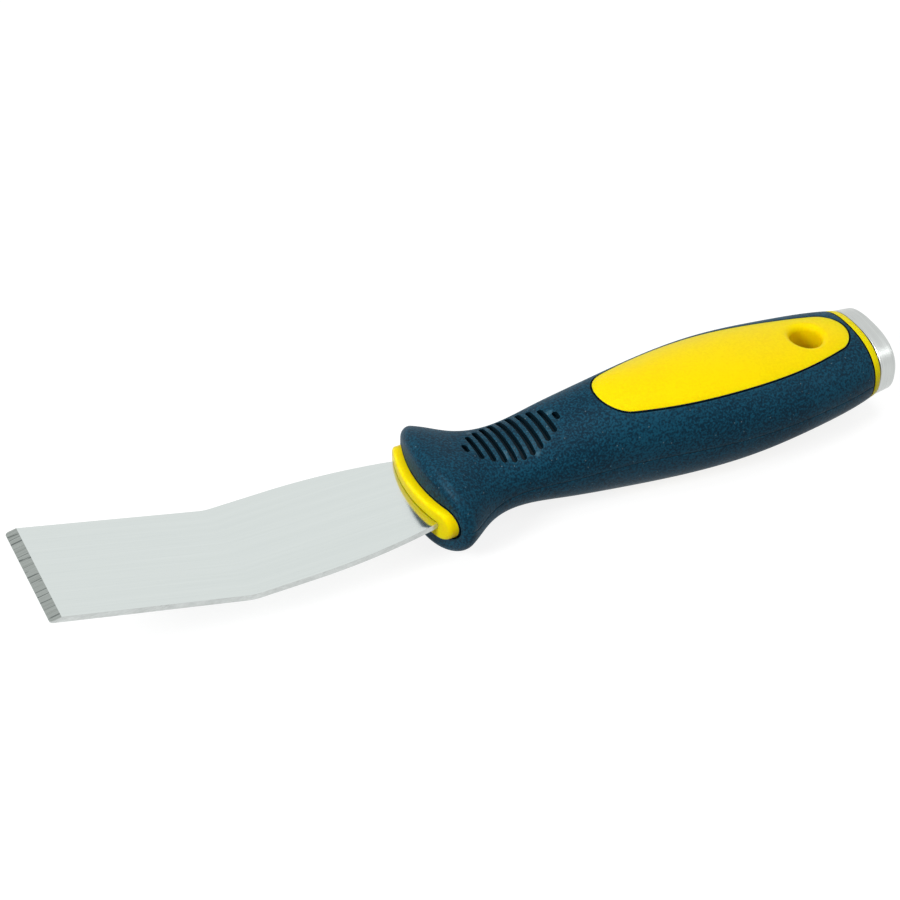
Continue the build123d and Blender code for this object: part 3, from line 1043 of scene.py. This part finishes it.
def panelCoat(centre, normal):
    # 1 on the walls in the seam and on the ledge under the grip, but not round the hanging hole; these get
    # near-black rubber as painted shade in the seam
    fromHole = np.hypot(centre.x - gripFront + hole["back"], centre.y)
    if fromHole < hole["radius"] + hole["mouth"] + 0.5:
        return 0
    return int(sinkOf(centre) > 0.1 and (abs(normal.z) < 0.8 or sinkOf(centre) > 2))


def collarCoat(centre, normal):
    # 1 behind the grip's front face, which gets near-black rubber as painted shade in the seam
    return int(centre.x < frontFace(centre.y) - 0.02)


def ringCoat(centre, normal):
    # 1 on the faces across the handle, which get near-black rubber as painted shade in the seams
    return int(abs(normal.x) > 0.75)


# painted shade: a near-black rubber laid on the slot and seam walls of the grip and the yellow parts
paintedSeamShade, capSteel = [makeRubber("paintedShadeRubber", asPaintedShade=True)], makeWorn("capSteel", capLook, "drawnLines")
yellow = makeWorn("yellowPlastic", yellowLook, "mouldGrain")
bladeSteel = makeWorn("bladeSteel", bladeLook, "drawnLines")
edgeSteels = [makeBevelSteel(), makeWorn("sideSteel", sideLook, "drawnLines")]
# piece, further materials and what chooses them, slot and replaced part
dressed = (
    (makeGrip(makeRubber("gripRubber")), paintedSeamShade, slotCoat, "grip_rubber", "soft_grip"),
    (makePanels(yellow), paintedSeamShade, panelCoat, "core_plastic", "handle_core"),
    (makeCollar(yellow), paintedSeamShade, collarCoat, "core_plastic", "handle_core"),
    (makeRing(yellow), paintedSeamShade, ringCoat, "core_plastic", "handle_core"),
    (makeCap(capSteel), [], None, "cap_steel", "strike_cap"),
    (makeBlade(bladeSteel), edgeSteels, bladeCoat, "blade_steel", "blade"),
    (makePeen(capSteel), [], None, "blade_steel", "blade"),
)
for piece, others, choose, slotName, node in dressed:
    if choose:
        coat(piece, others, choose)
    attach(piece, "root")
    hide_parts(node)
print("pieces dressed:", len(dressed))

# floor, lights, world and camera
studio = {
    "floorColour": (0.93, 0.93, 0.93, 1.0), "floorBounce": (0.26, 0.26, 0.26, 1.0), "floorReach": 3.0,
    "floorSeenWhite": 0.77, "floorSeenStrength": 1.1, "worldLight": 0.25,
    # broad light from above that reaches the whole floor: where it stands, strength, angle in degrees
    "skyFrom": (0.0, -0.05, 0.75), "skyStrength": 1.4, "skyAngle": 40.0,
    # near lamps: name, place, target, side, watts
    "lamps": (
        ("frontLamp", (0.58, 0.17, 0.37), (0.13, 0.0, 0.0), 0.18, 2.75),
        ("cameraSideLamp", (-0.02, 0.42, 0.62), (0.06, 0.0, 0.0), 0.30, 0.5),
        ("rearLamp", (-0.33, 0.30, 0.46), (0.02, 0.0, 0.0), 0.20, 0.42),
    ),
}


def raySeen(tree):
    # one for camera, glossy and transmission rays, which see the white surroundings
    path = put(tree, "ShaderNodeLightPath").outputs
    seen = calc(tree, "MAXIMUM", path["Is Camera Ray"], path["Is Glossy Ray"])
    return calc(tree, "MAXIMUM", seen, path["Is Transmission Ray"])


floorMesh = bpy.data.meshes.new("floor")
reach, corners = studio["floorReach"], ((-1, -1), (1, -1), (1, 1), (-1, 1))
floorMesh.from_pydata([(x * reach, y * reach, cadBox[0].z) for x, y in corners], [], [(0, 1, 2, 3)])
floor = newObject("floor", floorMesh)
floorMaterial, tree, shader = newMaterial("paleFloor", {"Roughness": 0.9, "Specular IOR Level": 0.0})
seenColour = mixColours(tree, raySeen(tree), studio["floorBounce"], studio["floorColour"])
tree.links.new(seenColour, shader.inputs["Base Color"])
glowing = {"Color": (1, 1, 1, 1), "Strength": studio["floorSeenStrength"]}
white = put(tree, "ShaderNodeEmission", glowing).outputs[0]
share = calc(tree, "MULTIPLY", raySeen(tree), studio["floorSeenWhite"])
surface = put(tree, "ShaderNodeMixShader", {0: share, 1: shader.outputs[0], 2: white}).outputs[0]
tree.links.new(surface, tree.nodes["Material Output"].inputs["Surface"])
floorMesh.materials.append(floorMaterial)

world = bpy.data.worlds.new("studioWorld")
world.use_nodes = True
tree = world.node_tree
glow = tree.nodes["Background"]
glow.inputs["Color"].default_value = (1, 1, 1, 1)
tree.links.new(mixValues(tree, raySeen(tree), studio["worldLight"], 1.0), glow.inputs["Strength"])
scene.world = world


# the flat blade mirrors the white surroundings only, or each lamp would flash over the whole of it
unlit = bpy.data.collections.new("unlitByLamps")
unlit.objects.link(bpy.data.objects["blade_steel"])
unlit.collection_objects[0].light_linking.link_state = "EXCLUDE"


def addLamp(lamp, stand, target):
    holder = newObject(lamp.name, lamp)
    holder.location = stand
    holder.rotation_euler = (Vector(target) - Vector(stand)).to_track_quat("-Z", "Y").to_euler()
    holder.light_linking.receiver_collection = unlit


sky = bpy.data.lights.new("skyLamp", "SUN")
sky.energy, sky.angle = studio["skyStrength"], np.radians(studio["skyAngle"])
addLamp(sky, studio["skyFrom"], (0.0, 0.0, 0.0))
for name, stand, target, side, watts in studio["lamps"]:
    lamp = bpy.data.lights.new(name, "AREA")
    lamp.energy, lamp.size = watts, side
    addLamp(lamp, stand, target)

# the photo's camera: where it stands, its lens and sensor in mm, and its right, up and back
view = {
    "place": (0.30332, 0.36738, 0.36357), "lens": 91.134, "sensor": 36.0, "nearest": 0.01,
    "axes": ((-0.89708, 0.44185, 0.00437), (-0.28527, -0.58668, 0.75791), (0.33745, 0.67866, 0.65234)),
}
lens = bpy.data.cameras.new("photoCamera")
lens.lens, lens.sensor_width, lens.clip_start = view["lens"], view["sensor"], view["nearest"]
camera = newObject("photoCamera", lens)
camera.matrix_world = Matrix.Translation(view["place"]) @ Matrix(view["axes"]).transposed().to_4x4()
scene.camera = camera
scene.view_settings.view_transform = "Standard"
print("studio set")
